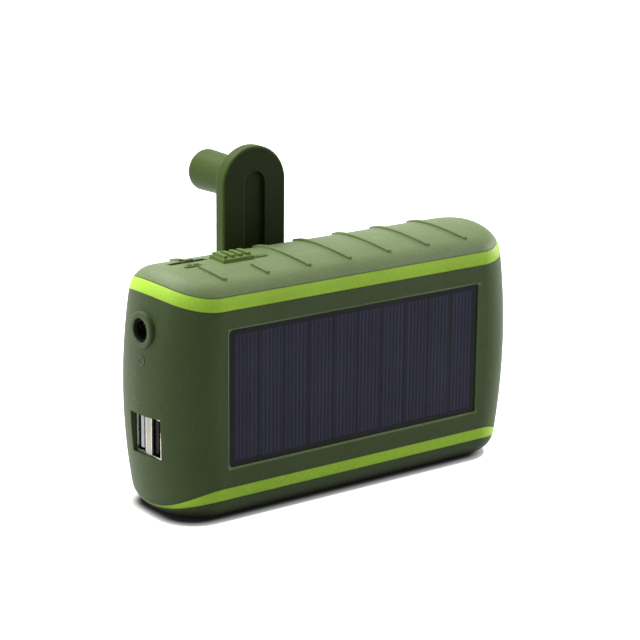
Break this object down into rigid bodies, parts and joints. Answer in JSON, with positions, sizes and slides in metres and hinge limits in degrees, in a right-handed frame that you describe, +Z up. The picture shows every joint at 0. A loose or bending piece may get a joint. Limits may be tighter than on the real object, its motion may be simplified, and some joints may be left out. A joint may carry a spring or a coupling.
{
  "type": "hand crank phone charger",
  "caption": "Pocket power bank with a folding hand crank, gear-driven generator, solar panel, USB sockets, DC input jack, power button and mode switch.",
  "frame": {"origin": "middle of the flat base it stands on", "axes": "+X along the case away from the sockets, +Y out of the back where the crank is, +Z up"},
  "size_m": [0.147, 0.073, 0.1113],
  "materials": {
    "olive_case": "matte",
    "lime_trim": "satin",
    "panel_cover": "gloss",
    "solar_cell": "gloss",
    "circuit_board": "satin",
    "socket_steel": "satin",
    "black_plastic": "matte",
    "socket_plastic": "satin",
    "plated_pin": "gloss",
    "chip_black": "matte",
    "battery_wrap": "satin",
    "switch_can": "satin",
    "frame_steel": "satin",
    "screw_steel": "satin",
    "bush_brass": "satin",
    "hub_steel": "satin",
    "pin_steel": "polished",
    "gear_white": "satin",
    "coil_copper": "satin",
    "magnet_grey": "satin",
    "control_olive": "matte"
  },
  "bodies": {
    "case": {"housing_body": "olive_case", "top_cap": "olive_case", "bottom_cap": "olive_case", "upper_trim_band": "lime_trim", "lower_trim_band": "lime_trim", "solar_board": "circuit_board", "solar_cells": "solar_cell", "solar_cover": "panel_cover", "usb_shell_front": "socket_steel", "usb_shell_rear": "socket_steel", "usb_tongue_front": "socket_plastic", "usb_tongue_rear": "socket_plastic", "usb_divider": "socket_plastic", "jack_body": "black_plastic", "jack_pin": "plated_pin", "main_board": "circuit_board", "board_parts": "chip_black", "battery_pack": "battery_wrap", "button_switch": "switch_can", "mode_switch_case": "switch_can", "control_board": "circuit_board", "gear_frame_rear": "frame_steel", "gear_frame_front": "frame_steel", "frame_screws": "screw_steel", "hub_bush": "bush_brass", "idler_axle_one": "pin_steel", "idler_axle_two": "pin_steel", "stator_case": "frame_steel", "stator_coils": "coil_copper", "cap_screws": "screw_steel"},
    "crank": {"crank_hub": "hub_steel", "hinge_pin": "pin_steel", "drive_gear": "gear_white", "shaft_clip": "screw_steel"},
    "arm": {"crank_arm": "olive_case", "knob_axle": "pin_steel", "knob_screw": "screw_steel"},
    "grip": {"knob": "olive_case"},
    "first_idler": {"idler_gear_one": "gear_white"},
    "second_idler": {"idler_gear_two": "gear_white"},
    "rotor": {"rotor_shaft": "pin_steel", "rotor_pinion": "gear_white", "rotor_magnet": "magnet_grey"},
    "button": {"power_button": "control_olive"},
    "mode_slider": {"mode_switch_knob": "black_plastic"}
  },
  "joints": [
    {"name": "crank_spin", "type": "hinge", "parent": "case", "child": "crank", "pos_m": [-0.0117, 0.021, 0.0405], "axis": [0, 1, 0], "continuous": true},
    {"name": "crank_fold", "type": "hinge", "parent": "crank", "child": "arm", "pos_m": [-0.0117, 0.0245, 0.0405], "axis": [-1, 0, 0], "range_deg": [0, 180]},
    {"name": "knob_spin", "type": "hinge", "parent": "arm", "child": "grip", "pos_m": [-0.0117, 0.03, 0.0985], "axis": [0, 1, 0], "continuous": true},
    {"name": "first_idler_spin", "type": "hinge", "parent": "case", "child": "first_idler", "pos_m": [0.00467, 0.011, 0.04995], "axis": [0, 1, 0], "continuous": true},
    {"name": "second_idler_spin", "type": "hinge", "parent": "case", "child": "second_idler", "pos_m": [0.01041, 0.007, 0.03416], "axis": [0, 1, 0], "continuous": true},
    {"name": "rotor_spin", "type": "hinge", "parent": "case", "child": "rotor", "pos_m": [-0.0034, 0.005, 0.02914], "axis": [0, 1, 0], "continuous": true},
    {"name": "button_press", "type": "slide", "parent": "case", "child": "button", "axis": [0, 0, -1], "range_m": [0, 0.0008], "stiffness_N_per_m": 800, "springref_m": -0.0008},
    {"name": "mode_slide", "type": "slide", "parent": "case", "child": "mode_slider", "axis": [1, 0, 0], "range_m": [-0.005, 0.005]}
  ],
  "couplings": [
    {"joint": "first_idler_spin", "follows": "crank_spin", "ratio": -3.5},
    {"joint": "second_idler_spin", "follows": "crank_spin", "ratio": 10.5},
    {"joint": "rotor_spin", "follows": "crank_spin", "ratio": -26.25}
  ]
}
